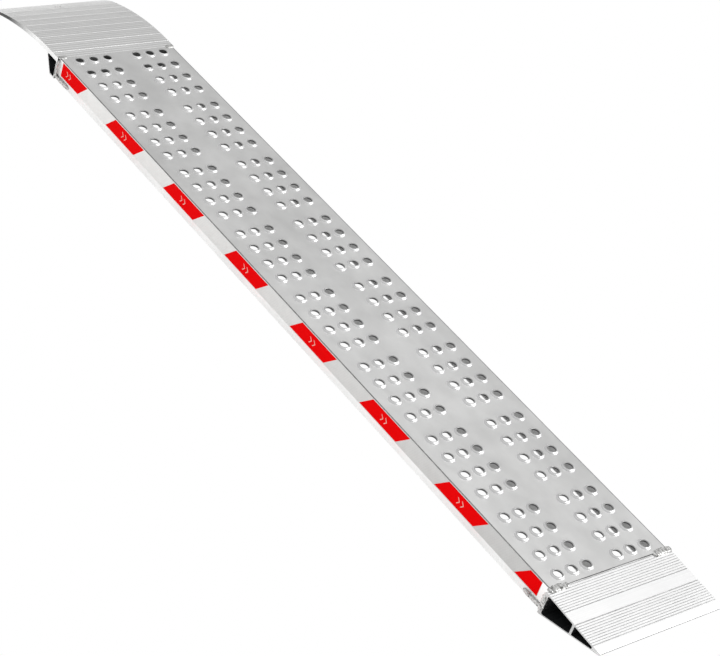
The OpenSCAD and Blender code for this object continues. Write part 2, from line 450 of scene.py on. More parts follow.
@dataclass(frozen=True)
class PrintedLine:
    """Pale ink on the red film."""

    name: str = "printed_line"
    thin: Triple = (0.74, 0.30, 0.26)
    full: Triple = (0.80, 0.50, 0.42)

    def build(self) -> bpy.types.Material:
        """Makes the material.

        Returns:
            The material.
        """
        g = Graph(self.name)
        patchy = g.noise((240.0, 240.0, 240.0), 3.0)
        g.paint(g.ramp(patchy, 0.0, 1.0), self.thin, self.full)
        g.set(Metallic=0.0, Roughness=0.45)
        return g.material


class Finishes:
    """Every finish of the ramp, each made once."""

    def __init__(self) -> None:
        """Makes the materials."""
        self.deck = MillSheet().build()
        self.rail = MillSheet("mill_rail", (0.72, 0.72, 0.715), (0.84, 0.84, 0.835),
                              (0.30, 0.42)).build()
        self.hook = Extruded("extruded_hook", (0.71, 0.71, 0.705), (0.81, 0.81, 0.805)).build()
        self.wedge = Extruded("extruded_wedge", grey(0.93), grey(0.99),
                              (0.42, 0.50), 0.10).build()
        # Near-black painted shade for the chambers of the hook and the wedge.
        self.hollow = HollowPaintedShade().build()
        # Mid-grey painted shade for the rails' inner faces, the plate's underside and the
        # stiffener.
        self.inside = DullMetal("inside_sheet", grey(0.46), (0.58, 0.58, 0.575),
                                metallic=0.2).build()
        # Near-black painted shade for the bores, the plate's edges, the wedge's nose front and the
        # hook's rear wall.
        self.deep_shade = DullMetal("punched_edge", grey(0.035), grey(0.09)).build()
        # Dark grey painted shade along the top strip of each rail.
        self.seam = DullMetal("bend_line", grey(0.16), grey(0.32)).build()
        # Darker grey painted shade on the collars' rims.
        self.rim = DullMetal("worn_rim", grey(0.36), grey(0.52)).build()
        # Grey painted shade in the wedge's grooves.
        self.groove = DullMetal("groove_floor", grey(0.30), grey(0.46),
                                metallic=0.3).build()
        self.cut = DullMetal("sawn_face", grey(0.40), (0.58, 0.58, 0.575),
                             (0.35, 0.5), 1.0, 700.0).build()
        self.rail_foot = DullMetal("rail_foot", grey(0.55), grey(0.85),
                                   metallic=0.1, grain=200.0).build()
        # Painted shade that darkens the lip's sawn sides towards the tip.
        self.lip_tip_shade = DullMetal("lip_tip_shade", (0.62, 0.62, 0.615), (0.84, 0.84, 0.835),
                                  (0.35, 0.5), 0.8, 700.0, (-0.90, -1.02)).build()
        self.weld = WeldMetal().build()
        # The white film darkens towards the foot as painted shade.
        self.tape = ReflectiveFilm("white_film", (0.90, 0.90, 0.885), grey(0.0),
                                   0.5, 0.2, 0.65).build()
        self.red = ReflectiveFilm("red_film", (0.84, 0.0, 0.001), (0.26, 0.0, 0.0),
                                  0.45, 0.01).build()
        # A brighter copy of the sheet as painted highlight on the collars.
        self.collar = MillSheet("pressed_collar", grey(0.80), grey(0.90),
                                (0.30, 0.38)).build()
        self.ink = PrintedLine().build()


# ---------------------------------------------------------------------------------------------
# Mesh helpers
# ---------------------------------------------------------------------------------------------


@dataclass
class Surface:
    """Points in millimetres and faces of any size, with a finish number for each face."""

    points: Array
    faces: list[list[int]]
    slots: list[int] = field(default_factory=list)

    def merged(self, step: float = 1e-3) -> "Surface":
        """This surface with points closer than step made one.

        Args:
            step: Grid on which equal points are found, in millimetres.

        Returns:
            The merged surface.
        """
        keys = np.round(self.points / step).astype(np.int64)
        _, first, back = np.unique(keys, axis=0, return_index=True, return_inverse=True)
        back = back.reshape(-1)
        return Surface(self.points[first], [[int(back[i]) for i in f] for f in self.faces],
                       self.slots)


def quad_faces(rows: int, columns: int, wrap: bool) -> list[list[int]]:
    """Quads of a grid of points that is stored row after row.

    Args:
        rows: Number of rows.
        columns: Number of points in a row.
        wrap: Whether the last column joins the first.

    Returns:
        The faces.
    """
    r, c = np.meshgrid(np.arange(rows - 1), np.arange(columns if wrap else columns - 1),
                       indexing="ij")
    following = (c + 1) % columns
    faces = np.stack([r * columns + c, r * columns + following,
                      (r + 1) * columns + following, (r + 1) * columns + c], axis=-1)
    return faces.reshape(-1, 4).tolist()


def arc(centre: Pair, radius: float, start: float, end: float,
        count: int) -> Array:
    """Points on a circle, centre plus radius times the cosine and sine of the angle.

    Args:
        centre: The circle's centre.
        radius: Its radius.
        start: First angle in degrees.
        end: Last angle in degrees.
        count: Number of points.

    Returns:
        An array of count points.
    """
    angle = np.radians(np.linspace(start, end, count))
    return np.column_stack([centre[0] + radius * np.cos(angle),
                            centre[1] + radius * np.sin(angle)])


def rounded(corners: list[Triple], steps: int = 5) -> Array:
    """A closed outline whose corners are rounded.

    Each corner is replaced by an arc that touches both of its edges. The arc's centre lies on the
    corner's bisector, at the radius over the sine of half the corner's angle.

    Args:
        corners: Each corner's two coordinates and its radius.
        steps: Points on each arc.

    Returns:
        The outline's points in order.
    """
    xy = np.array([c[:2] for c in corners], float)
    parts = []
    for here, before, after, corner in zip(xy, np.roll(xy, 1, axis=0), np.roll(xy, -1, axis=0),
                                           corners):
        radius = corner[2]
        if radius <= 0:
            parts.append(here[None, :])
            continue
        back = (before - here) / np.linalg.norm(before - here)
        on = (after - here) / np.linalg.norm(after - here)
        half = math.acos(float(np.clip(back @ on, -1.0, 1.0))) / 2
        bisector = (back + on) / np.linalg.norm(back + on)
        centre = here + bisector * radius / math.sin(half)
        start = here + back * radius / math.tan(half) - centre
        end = here + on * radius / math.tan(half) - centre
        swing = math.atan2(start[0] * end[1] - start[1] * end[0], start @ end)
        angle = np.linspace(0.0, swing, steps)
        cos, sin = np.cos(angle), np.sin(angle)
        parts.append(centre + np.column_stack([start[0] * cos - start[1] * sin,
                                               start[0] * sin + start[1] * cos]))
    return np.vstack(parts)


def is_counter_clockwise(outline: Array) -> bool:
    """Whether a closed outline turns anticlockwise, by the sign of its area."""
    x, y = outline.T
    return float(np.sum(x * np.roll(y, -1) - np.roll(x, -1) * y)) > 0


def prism(outlines: list[Array], reach: list[Array], to_space: Callable[[Array, Array], Array],
          skins: list[Array] | None = None, cap_slot: int = 0) -> Surface:
    """An outline with hollows carried from one side to the other, and closed at both ends.

    The first outline is the outside. Each point p of outline k is carried from -reach[k] to
    +reach[k] along the third axis, so a reach that shrinks towards an end rounds that end.

    Args:
        outlines: Closed outlines, the outside first and then the hollows.
        reach: For each outline, the half length at each of its points.
        to_space: Turns plane points (N, 2) and distances (N,) into space points (N, 3).
        skins: For each outline, the finish number of the wall after each of its points.
        cap_slot: Finish number of the two ends.

    Returns:
        The closed surface.
    """
    points, faces, slots, starts = [], [], [], []
    total = 0
    skins = skins or [np.zeros(len(o), int) for o in outlines]
    for k, (outline, half, skin) in enumerate(zip(outlines, reach, skins)):
        if is_counter_clockwise(outline) != (k == 0):
            outline, half, skin = outline[::-1], half[::-1], np.roll(skin[::-1], -1)
        n = len(outline)
        points += [to_space(outline, -half), to_space(outline, half)]
        starts.append((total, outline))
        around = np.arange(n)
        following = (around + 1) % n
        walls = np.stack([around, following, following + n, around + n], axis=-1) + total
        faces += walls.tolist()
        slots += skin.tolist()
        total += 2 * n
    flat = [[Vector((float(p[0]), float(p[1]), 0.0)) for p in outline] for _, outline in starts]
    low = np.concatenate([np.arange(len(o)) + s for s, o in starts])
    high = np.concatenate([np.arange(len(o)) + s + len(o) for s, o in starts])
    plane = np.vstack([o for _, o in starts])
    for triangle in tessellate_polygon(flat):
        a, b, c = (plane[i] for i in triangle)
        turn = (b[0] - a[0]) * (c[1] - a[1]) - (b[1] - a[1]) * (c[0] - a[0])
        if abs(turn) < 1e-9:
            continue
        order = list(triangle) if turn > 0 else list(triangle)[::-1]
        faces.append([int(high[i]) for i in order])
        faces.append([int(low[i]) for i in order[::-1]])
        slots += [int(cap_slot), int(cap_slot)]
    return Surface(np.vstack(points), faces, slots)


def along_x(outline: Array, distance: Array) -> Array:
    """A cross-section in Y and Z carried along X."""
    return np.column_stack([distance, outline[:, 0], outline[:, 1]])


def along_y(outline: Array, distance: Array) -> Array:
    """A side view in X and Z carried across the ramp."""
    return np.column_stack([outline[:, 0], -distance, outline[:, 1]])


def make_piece(name: str, surface: Surface, finishes: list[bpy.types.Material],
               nodes: list[str], sharp: float = 35.0) -> bpy.types.Object:
    """Makes a piece of the ramp from a surface, and lets it ride in place of its CAD nodes.

    Args:
        name: The piece's name.
        surface: Its points in millimetres and its faces.
        finishes: Materials, numbered as the surface numbers them.
        nodes: The CAD nodes that the piece stands for.
        sharp: Edges that turn more than this many degrees stay crisp.

    Returns:
        The new object.
    """
    mesh = bpy.data.meshes.new(name)
    mesh.from_pydata((surface.points * MM).tolist(), [], surface.faces)
    for finish in finishes:
        mesh.materials.append(finish)
    if surface.slots:
        mesh.polygons.foreach_set("material_index", surface.slots)
    mesh.polygons.foreach_set("use_smooth", [True] * len(mesh.polygons))
    mesh.validate()
    mesh.set_sharp_from_angle(angle=math.radians(sharp))
    mesh.update()
    piece = bpy.data.objects.new(name, mesh)
    bpy.context.scene.collection.objects.link(piece)
    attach(piece, ROOT)
    if nodes:
        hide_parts(*nodes)
    log.info("%s: %d points, %d faces", name, len(mesh.vertices), len(mesh.polygons))
    return piece


def span(node: str) -> tuple[Array, Array]:
    """A CAD node's lowest and highest corner in millimetres."""
    low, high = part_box(node)
    return np.array(low) / MM, np.array(high) / MM


# ---------------------------------------------------------------------------------------------
# Deck
# ---------------------------------------------------------------------------------------------


class DeckSkin(IntEnum):
    """Finish numbers of the deck sheet."""

    SHEET = 0
    EDGE = 1
    UNDER = 2
    COLLAR = 3
    RIM = 4


@dataclass
class Deck:
    """The punched plate with its pressed tread holes."""

    groups: int = 8
    rows: int = 4
    row_pitch: float = 51.0
    group_gap: float = 67.0
    hook_margin: float = 21.0
    columns: tuple[float, ...] = (38.6, 74.9, 111.2)
    column_pitch: float = 36.3
    plate: float = 2.5
    bore_r: float = 8.8
    rim_r: float = 1.4
    flank: float = 42.0
    root_r: float = 13.5
    collar_h: float = 3.5
    funnel_r: float = 12.4
    toe: tuple[Pair, ...] = ((1.6, 0.0), (0.7, 0.02))
    toe_h: float = 0.45
    lip_drop: float = 0.6
    flat_w: float = 1.0
    around: int = 24

    def row_centres(self) -> Array:
        """Distances of all rows from the deck's start."""
        group = np.arange(self.groups) * ((self.rows - 1) * self.row_pitch + self.group_gap)
        return (group[:, None] + np.arange(self.rows) * self.row_pitch).ravel() + self.hook_margin

    def hole_profile(self) -> Array:
        """Radius and height of the rings from the collar's root over its rim and down the bore.

        The flank is a cone with a small fillet at its root. It runs into the rim, which is a
        circle's arc, and the bore opens downwards along a quarter of an ellipse, as in a thin
        sheet that is pressed upwards.

        Returns:
            Rings as rows of radius and height above the plate's top.
        """
        rim_c = (self.bore_r + self.rim_r, self.collar_h - self.rim_r)
        rim = arc(rim_c, self.rim_r, 90 - self.flank, 180, 4)
        low_r = rim[0, 0] + (rim[0, 1] - self.toe_h) / math.tan(math.radians(self.flank))
        root = np.array([(self.root_r + r, z) for r, z in self.toe] + [(low_r, self.toe_h)])
        quarter = np.radians(np.array([45.0, 90.0]))
        lip_z = rim_c[1] - self.lip_drop
        funnel = np.column_stack([
            self.funnel_r - (self.funnel_r - self.bore_r) * np.cos(quarter),
            -self.plate + (lip_z + self.plate) * (1 - np.sin(quarter))])
        lip = np.array([[self.bore_r, lip_z]])
        outer = np.array([[self.funnel_r + self.flat_w, -self.plate]])
        return np.vstack([root, rim, lip, funnel, outer])

    def hole_cell(self, box: tuple[float, float, float, float],
                  centre: Pair) -> Surface:
        """One hole and the plate around it, out to a rectangle, on top and underneath.

        Ring k is the circle of radius r_k at height z_k. The first and the last ring follow the
        rectangle, with the same number of points on each of its sides.

        Args:
            box: Low and high X, low and high Y of the rectangle.
            centre: The hole's centre.

        Returns:
            The open surface.
        """
        border = self.border(box)
        angle = np.radians(225 + np.arange(self.around) * 360 / self.around)
        rings = self.hole_profile()
        x = centre[0] + rings[:, :1] * np.cos(angle)
        y = centre[1] + rings[:, :1] * np.sin(angle)
        z = np.repeat(rings[:, 1:], self.around, axis=1)
        body = np.stack([x, y, z], axis=-1)
        top = np.column_stack([border, np.zeros(self.around)])[None]
        under = np.column_stack([border, np.full(self.around, -self.plate)])[None]
        grid = np.concatenate([top, body, under])
        # One strip of sheet, three each of collar, rim and bore, and two underneath.
        # The bores' walls and funnels, and the plate's edges, take near-black painted shade.
        skin = np.repeat([DeckSkin.SHEET, DeckSkin.COLLAR, DeckSkin.RIM, DeckSkin.EDGE,
                          DeckSkin.UNDER], [1, 3, 3, 3, 2])
        # The rim rings take a darker grey painted shade.
        return Surface(grid.reshape(-1, 3), quad_faces(len(grid), self.around, True),
                       np.repeat(skin, self.around).tolist())

    def border(self, box: tuple[float, float, float, float]) -> Array:
        """Evenly spaced points round a rectangle, anticlockwise from its lowest corner.

        Args:
            box: Low and high X, low and high Y.

        Returns:
            One point for each step round the rectangle.
        """
        x0, x1, y0, y1 = box
        step = np.arange(self.around // 4) / (self.around // 4)
        zero, one = np.zeros_like(step), np.ones_like(step)
        u = np.concatenate([step, one, 1 - step, zero])
        v = np.concatenate([zero, step, one, 1 - step])
        return np.column_stack([x0 + (x1 - x0) * u, y0 + (y1 - y0) * v])

    def plain_cell(self, box: tuple[float, float, float, float]) -> Surface:
        """A rectangle of plate without a hole, on top and underneath.

        Args:
            box: Low and high X, low and high Y.

        Returns:
            The open surface.
        """
        border = self.border(box)
        n = self.around
        top = np.column_stack([border, np.zeros(n)])
        under = np.column_stack([border, np.full(n, -self.plate)])
        return Surface(np.vstack([top, under]), [list(range(n)), list(range(2 * n - 1, n - 1, -1))],
                       [DeckSkin.SHEET, DeckSkin.UNDER])

    def surface(self, x0: float, x1: float, half: float, top: float) -> Surface:
        """The whole plate.

        The plate is cut into a lattice of rectangles whose edges are divided alike, so that
        neighbours share their points. Each one holds a hole or is plain.

        Args:
            x0: The deck's start.
            x1: The deck's end.
            half: Half of the plate's width.
            top: Height of its top.

        Returns:
            The closed surface.
        """
        centres = self.row_centres() + x0
        low = np.maximum(centres - self.row_pitch / 2, x0)
        high = np.minimum(centres + self.row_pitch / 2, x1)
        across = np.array([s * c for s in (-1, 1) for c in self.columns])
        across.sort()
        y_low, y_high = across - self.column_pitch / 2, across + self.column_pitch / 2
        strips = [(float(a), float(b), float(c)) for a, b, c in zip(y_low, y_high, across)]
        strips += [(-half, float(y_low[0]), math.nan), (float(y_high[-1]), half, math.nan),
                   (float(y_high[2]), float(y_low[3]), math.nan)]
        lengths = [(float(a), float(b), float(c)) for a, b, c in zip(low, high, centres)]
        lengths += [(float(b), float(a), math.nan) for a, b in zip(low[1:], high[:-1])
                    if a - b > 1e-6]
        parts = []
        for xa, xb, xc in lengths:
            for ya, yb, yc in strips:
                box = (xa, xb, ya, yb)
                holed = not (math.isnan(xc) or math.isnan(yc))
                parts.append(self.hole_cell(box, (xc, yc)) if holed else self.plain_cell(box))
        edge = self.edge_walls(sorted(lengths), sorted(strips))
        whole = stack(parts + [edge])
        whole.points[:, 2] += top
        return whole.merged()

    def edge_walls(self, lengths: list, strips: list) -> Surface:
        """The plate's four narrow edges, divided as the lattice is.

        Args:
            lengths: The lattice's stretches along X.
            strips: The lattice's strips along Y.

        Returns:
            The open surface.
        """
        n = self.around // 4
        t = np.arange(n) / n
        xs = np.concatenate([a + (b - a) * t for a, b, _ in lengths])
        back = np.concatenate([b + (a - b) * t for a, b, _ in reversed(lengths)])
        ys = np.concatenate([a + (b - a) * t for a, b, _ in strips])
        x0, x1 = lengths[0][0], lengths[-1][1]
        y0, y1 = strips[0][0], strips[-1][1]
        loop = np.vstack([
            np.column_stack([xs, np.full_like(xs, y0)]),
            np.column_stack([np.full_like(ys, x1), ys]),
            np.column_stack([back, np.full_like(back, y1)]),
            np.column_stack([np.full_like(ys, x0), y1 + y0 - ys]),
        ])
        grid = np.stack([np.column_stack([loop, np.full(len(loop), -self.plate)]),
                         np.column_stack([loop, np.zeros(len(loop))])])
        faces = quad_faces(2, len(loop), True)
        return Surface(grid.reshape(-1, 3), faces, [DeckSkin.EDGE] * len(faces))

    def build(self, finishes: Finishes) -> None:
        """Makes the deck sheet in place of the CAD plate.

        Args:
            finishes: The ramp's materials.
        """
        # The collar rings take a brighter copy of the sheet, a painted highlight.
        low, high = span("deck_plate")
        top = span("side_rail_left")[1][2]
        surface = self.surface(low[0], high[0], high[1], top)
        # The plate's underside takes a mid-grey painted shade.
        make_piece("deck_sheet", surface,
                   [finishes.deck, finishes.deep_shade, finishes.inside, finishes.collar,
                    finishes.rim],
                   ["deck_plate"], 50.0)


def stack(parts: list[Surface]) -> Surface:
    """Several surfaces as one.

    Args:
        parts: The surfaces.

    Returns:
        One surface that holds them all.
    """
    shifts = np.cumsum([0] + [len(p.points) for p in parts[:-1]])
    faces = [[i + int(s) for i in f] for p, s in zip(parts, shifts) for f in p.faces]
    slots = [int(m) for p in parts for m in (p.slots or [0] * len(p.faces))]
    return Surface(np.vstack([p.points for p in parts]), faces, slots)


# ---------------------------------------------------------------------------------------------
# Rails and stiffener
# ---------------------------------------------------------------------------------------------


class RailSkin(IntEnum):
    """Finish numbers of a side rail."""

    OUTER = 0
    INNER = 1
    SEAM = 2
    FOOT = 3


@dataclass
class Rails:
    """The two side rails and the stiffener under the middle of the deck."""

    wall: float = 2.5
    lip: float = 15.0
    edge_r: float = 1.0
    root_r: float = 3.0
    web: float = 3.0
    foot: float = 26.0
    foot_edge_r: float = 1.2
    top_edge_r: float = 0.4
    trim: float = 0.8

    def rail(self, side: Side, finishes: Finishes) -> None:
        """Makes one rail: an L on edge with rounded corners, carried along the deck.

        Args:
            side: The rail's side of the ramp.
            finishes: The ramp's materials.
        """
        node = f"side_rail_{side.name.lower()}"
        low, high = span(node)
        out = high[1] if side is Side.RIGHT else -low[1]
        top = high[2]
        corners = [(out, 0.0, self.edge_r), (out, top, self.edge_r),
                   (out - self.wall, top, self.top_edge_r),
                   (out - self.wall, self.wall, self.root_r),
                   (out - self.lip, self.wall, self.edge_r), (out - self.lip, 0.0, self.edge_r)]
        outline = rounded([(side.value * y, z, r) for y, z, r in corners])
        outer = np.abs(outline[:, 0]) > out - 0.6 * self.edge_r
        upper = outline[:, 1] > top - self.trim
        lower = outline[:, 1] < self.wall + self.trim
        # The inner faces take a mid-grey painted shade.
        skin = np.where(outer & np.roll(outer, -1), RailSkin.OUTER, RailSkin.INNER)
        # The top strip takes a dark painted shade line.
        skin[upper & np.roll(upper, -1)] = RailSkin.SEAM
        skin[lower & np.roll(lower, -1) & (skin == RailSkin.INNER)] = RailSkin.FOOT
        self.carry(f"rail_{side.name.lower()}", outline, low[0], high[0],
                   [finishes.rail, finishes.inside, finishes.seam, finishes.rail_foot],
                   node, skin)

    def stiffener(self, finishes: Finishes) -> None:
        """Makes the stiffener: an upside-down T with a rounded root.

        Args:
            finishes: The ramp's materials.
        """
        low, high = span("centre_stiffener")
        web, foot, top = self.web / 2, self.foot / 2, high[2]
        corners = [(foot, 0.0, self.edge_r), (foot, self.web, self.foot_edge_r),
                   (web, self.web, self.root_r), (web, top, 0.0), (-web, top, 0.0),
                   (-web, self.web, self.root_r), (-foot, self.web, self.foot_edge_r),
                   (-foot, 0.0, self.edge_r)]
        # The whole stiffener is a mid-grey painted shade.
        self.carry("stiffener_tee", rounded(corners), low[0], high[0], [finishes.inside],
                   "centre_stiffener")

    def carry(self, name: str, outline: Array, x0: float, x1: float,
              skins: list[bpy.types.Material], node: str, skin: Array | None = None) -> None:
        """Carries an outline along X and makes it a piece.

        Args:
            name: The piece's name.
            outline: Its cross-section in Y and Z.
            x0: Where it starts.
            x1: Where it ends.
            skins: Its finishes.
            node: The CAD node that it replaces.
            skin: Finish number of the wall after each point of the outline.
        """
        half = np.full(len(outline), (x1 - x0) / 2)
        surface = prism([outline], [half], along_x, None if skin is None else [skin])
        surface.points[:, 0] += (x0 + x1) / 2
        make_piece(name, surface, skins, [node])

    def build(self, finishes: Finishes) -> None:
        """Makes both rails and the stiffener."""
        for side in Side:
            self.rail(side, finishes)
        self.stiffener(finishes)


# ---------------------------------------------------------------------------------------------
# Foot wedge
# ---------------------------------------------------------------------------------------------


class WedgeSkin(IntEnum):
    """Finish numbers of the foot wedge."""

    PLAIN = 0
    HOLLOW = 1
    GROOVE = 2
    CUT = 3
    DARK = 4


@dataclass
class Wedge:
    """The hollow extrusion at the ramp's foot."""

    nose_top: float = 43.0
    nose: float = 4.5
    heel: float = 4.0
    wall: float = 2.5
    rear_t: float = 8.0
    web_x: float = 79.0
    web_t: float = 5.0
    nose_solid: float = 20.0
    bands: Pair = (1.8, 80.5)
    grooves: int = 10
    groove_pitch: float = 5.4
    groove: float = 1.5
    groove_depth: float = 0.6
    edge_groove: float = 1.5
    nose_r: float = 1.8
    brow_r: float = 1.0
    dark_line: float = 3.4
    rear_corner_r: float = 3.5
    front_corner_r: float = 1.4

    def top(self, x: Array, length: float, height: float) -> Array:
        """Height of the wedge's top at x, a straight slope."""
        return height + (self.nose_top - height) * x / length

    def top_line(self, length: float, height: float) -> Array:
        """The top's outline from the nose to the deck.

        Each groove dips as one full cosine wave, groove wide and groove_depth deep.

        Args:
            length: The wedge's length.
            height: Height of the deck's top.

        Returns:
            Points in X and Z.
        """
        phase = np.linspace(-0.5, 0.5, 7)
        number = np.arange(self.grooves)
        starts = np.concatenate([b + number * self.groove_pitch for b in self.bands])
        outer = np.concatenate([number == self.grooves - 1,
                                (number == 0) | (number == self.grooves - 1)])
        width = self.groove * np.where(outer, self.edge_groove, 1.0)
        x = (starts[:, None] + self.groove / 2 + phase * width[:, None]).ravel()
        dip = (1 + np.cos(2 * math.pi * phase)) / 2 * self.groove_depth
        dip = (dip * np.where(outer, self.edge_groove, 1.0)[:, None]).ravel()
        x = np.concatenate([[0.4], x])
        dip = np.concatenate([[0.0], dip])
        line = np.column_stack([x, self.top(x, length, height) - dip])
        return line[::-1]

    def hollow(self, x1: float, x2: float, radius: float, length: float,
               height: float) -> Array:
        """One hollow's outline between two upright walls, with rounded corners.

        Args:
            x1: Its start.
            x2: Its end.
            radius: Radius of its corners.
            length: The wedge's length.
            height: Height of the deck's top.

        Returns:
            The closed outline.
        """
        def roof(x: float) -> float:
            """Height of the hollow's top at x."""
            return float(self.top(np.array(x), length, height)) - self.wall - self.groove_depth

        def floor(x: float) -> float:
            """Height of the hollow's bottom at x."""
            rise = (self.nose_top - self.nose) * (x - self.heel) / (length - self.heel)
            return max(0.0, rise) + self.wall

        return rounded([(x1, floor(x1), radius), (x2, floor(x2), radius),
                        (x2, roof(x2), radius), (x1, roof(x1), radius)], 5)

    def build(self, finishes: Finishes) -> None:
        """Makes the wedge in place of its CAD node.

        Args:
            finishes: The ramp's materials.
        """
        low, high = span("foot_wedge")
        length, height = high[0] - low[0], high[2]
        nose_low = self.nose_top - self.nose
        under = np.array([[0.0, 0.0], [self.heel, 0.0]])
        # The lower arc starts square to the sloping underside, and the upper one ends square to
        # the top.
        nose = arc((length - self.nose_r, nose_low + self.nose_r), self.nose_r, -76, 0, 5)
        brow = arc((length - self.brow_r, self.nose_top - 0.9 * self.brow_r), self.brow_r,
                   0, 85, 4)
        shadow = np.array([[length, nose_low + self.dark_line]])
        outline = np.vstack([under, nose, shadow, brow, self.top_line(length, height)])
        hollows = [self.hollow(self.rear_t, self.web_x - self.web_t / 2, self.rear_corner_r,
                               length, height),
                   self.hollow(self.web_x + self.web_t / 2, length - self.nose_solid,
                               self.front_corner_r, length, height)]
        outlines = [outline, *hollows]
        # The hollows' walls take near-black painted shade.
        skins = [self.grooved(outline, length, height),
                 *(np.full(len(h), WedgeSkin.HOLLOW) for h in hollows)]
        reach = [np.full(len(o), high[1]) for o in outlines]
        surface = prism(outlines, reach, along_y, skins, WedgeSkin.CUT)
        surface.points[:, 0] += low[0]
        make_piece("wedge_extrusion", surface,
                   [finishes.wedge, finishes.hollow, finishes.groove, finishes.cut,
                    finishes.deep_shade], ["foot_wedge"], 30.0)

    def grooved(self, outline: Array, length: float, height: float) -> Array:
        """Finish numbers of the outline's walls: the floor of each groove gets grey painted shade.

        Args:
            outline: The wedge's outline.
            length: The wedge's length.
            height: Height of its top at the deck.

        Returns:
            One number for the wall after each point.
        """
        depth = self.top(outline[:, 0], length, height) - outline[:, 1]
        mean = (depth + np.roll(depth, -1)) / 2
        back = outline[:, 0] < length - self.nose_solid
        # The nose's front below the dark line takes near-black painted shade.
        low = self.nose_top - self.nose + self.dark_line - 0.1
        front = (outline[:, 0] > length - 3.0) & (outline[:, 1] < low)
        dipped = (mean > 0.1 * self.groove_depth) & (mean < self.wall - 0.5) & back
        return np.select([dipped, front], [WedgeSkin.GROOVE, WedgeSkin.DARK], WedgeSkin.PLAIN)


# ---------------------------------------------------------------------------------------------
# Hook
# ---------------------------------------------------------------------------------------------


class HookSkin(IntEnum):
    """Finish numbers of the hook."""

    PLAIN = 0
    HOLLOW = 1
    REAR = 2
    SAWN = 3


